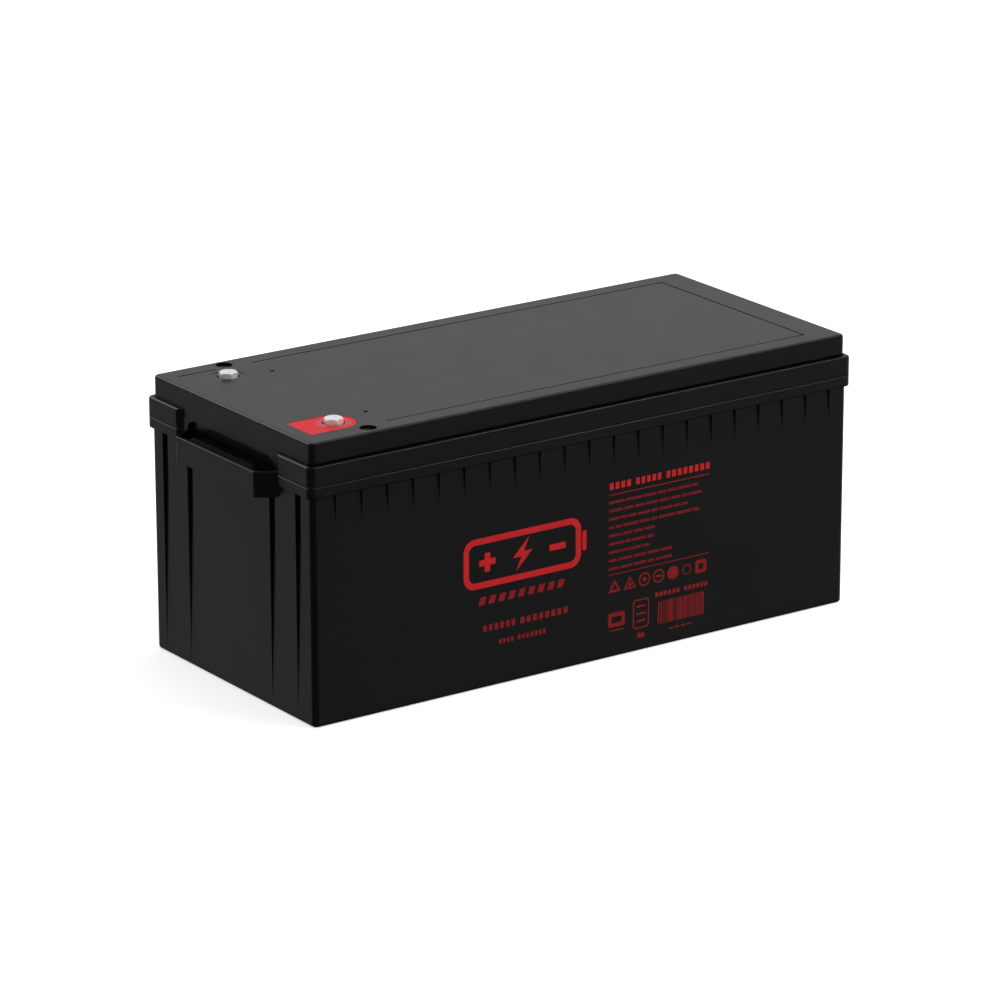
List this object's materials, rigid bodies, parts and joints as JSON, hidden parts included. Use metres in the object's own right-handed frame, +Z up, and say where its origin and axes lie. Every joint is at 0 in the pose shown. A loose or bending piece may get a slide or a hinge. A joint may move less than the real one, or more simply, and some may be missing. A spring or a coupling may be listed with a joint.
{
  "type": "deep cycle battery",
  "caption": "Sealed lead-acid deep cycle battery in a ribbed black container with a flush lid, bolt-down terminals at one end and a rope handle in a ledge at each end.",
  "frame": {"origin": "middle of the container's underside", "axes": "+X along the length away from the terminals, -Y out of the printed front, +Z up"},
  "size_m": [0.522, 0.2256, 0.2221],
  "materials": {
    "case_plastic": "semi-gloss moulded ABS",
    "lid_plastic": "semi-gloss moulded ABS",
    "mark_red": "satin",
    "seal_red": "glossy potting resin",
    "seal_black": "glossy potting resin",
    "fastener_steel": "bright zinc plated",
    "insert_brass": "turned",
    "lead": "dull cast lead",
    "positive_plate": "matt lead dioxide",
    "negative_plate": "matt sponge lead",
    "glass_mat": "absorbent glass mat",
    "rubber": "matt",
    "porous_disc": "porous sintered",
    "rope": "braided nylon"
  },
  "bodies": {
    "battery": {"case": "case_plastic", "lid": "lid_plastic", "vent_cover": "lid_plastic", "relief_valves": "rubber", "flame_arrestors": "porous_disc", "positive_mark": "mark_red", "positive_pole": "lead", "positive_insert": "insert_brass", "positive_gasket": "rubber", "positive_seal": "seal_red", "negative_pole": "lead", "negative_insert": "insert_brass", "negative_gasket": "rubber", "negative_seal": "seal_black", "cell_1_positive_plates": "positive_plate", "cell_1_negative_plates": "negative_plate", "cell_1_separators": "glass_mat", "cell_1_positive_strap": "lead", "cell_1_negative_strap": "lead", "cell_2_positive_plates": "positive_plate", "cell_2_negative_plates": "negative_plate", "cell_2_separators": "glass_mat", "cell_2_positive_strap": "lead", "cell_2_negative_strap": "lead", "cell_3_positive_plates": "positive_plate", "cell_3_negative_plates": "negative_plate", "cell_3_separators": "glass_mat", "cell_3_positive_strap": "lead", "cell_3_negative_strap": "lead", "cell_4_positive_plates": "positive_plate", "cell_4_negative_plates": "negative_plate", "cell_4_separators": "glass_mat", "cell_4_positive_strap": "lead", "cell_4_negative_strap": "lead", "cell_5_positive_plates": "positive_plate", "cell_5_negative_plates": "negative_plate", "cell_5_separators": "glass_mat", "cell_5_positive_strap": "lead", "cell_5_negative_strap": "lead", "cell_6_positive_plates": "positive_plate", "cell_6_negative_plates": "negative_plate", "cell_6_separators": "glass_mat", "cell_6_positive_strap": "lead", "cell_6_negative_strap": "lead", "connector_1_2": "lead", "connector_2_3": "lead", "connector_3_4": "lead", "connector_4_5": "lead", "connector_5_6": "lead"},
    "positive_washers": {"positive_flat_washer": "fastener_steel", "positive_spring_washer": "fastener_steel"},
    "positive_bolt": {"positive_bolt": "fastener_steel"},
    "negative_washers": {"negative_flat_washer": "fastener_steel", "negative_spring_washer": "fastener_steel"},
    "negative_bolt": {"negative_bolt": "fastener_steel"},
    "left_rope_ends": {"left_rope_ends": "rope"},
    "left_rope_run": {"left_rope_run": "rope"},
    "right_rope_ends": {"right_rope_ends": "rope"},
    "right_rope_run": {"right_rope_run": "rope"}
  },
  "joints": [
    {"name": "positive_bolt_rise", "type": "slide", "parent": "battery", "child": "positive_washers", "axis": [0, 0, 1], "range_m": [0, 0.0201]},
    {"name": "positive_bolt_turn", "type": "hinge", "parent": "positive_washers", "child": "positive_bolt", "pos_m": [-0.2025, -0.072, 0.2168], "axis": [0, 0, 1], "range_deg": [0, 5760]},
    {"name": "negative_bolt_rise", "type": "slide", "parent": "battery", "child": "negative_washers", "axis": [0, 0, 1], "range_m": [0, 0.0201]},
    {"name": "negative_bolt_turn", "type": "hinge", "parent": "negative_washers", "child": "negative_bolt", "pos_m": [-0.2025, 0.072, 0.2168], "axis": [0, 0, 1], "range_deg": [0, 5760]},
    {"name": "left_handle_pull", "type": "slide", "parent": "battery", "child": "left_rope_ends", "axis": [0, 0, 1], "range_m": [0, 0.0054]},
    {"name": "left_handle_arch", "type": "slide", "parent": "left_rope_ends", "child": "left_rope_run", "axis": [0, 0, 1], "range_m": [0, 0.014]},
    {"name": "right_handle_pull", "type": "slide", "parent": "battery", "child": "right_rope_ends", "axis": [0, 0, 1], "range_m": [0, 0.0054]},
    {"name": "right_handle_arch", "type": "slide", "parent": "right_rope_ends", "child": "right_rope_run", "axis": [0, 0, 1], "range_m": [0, 0.014]}
  ],
  "couplings": [
    {"joint": "positive_bolt_rise", "follows": "positive_bolt_turn", "m_per_rad": 0.00019894},
    {"joint": "negative_bolt_rise", "follows": "negative_bolt_turn", "m_per_rad": 0.00019894},
    {"joint": "left_handle_arch", "follows": "left_handle_pull", "ratio": 2.59},
    {"joint": "right_handle_arch", "follows": "right_handle_pull", "ratio": 2.59}
  ]
}
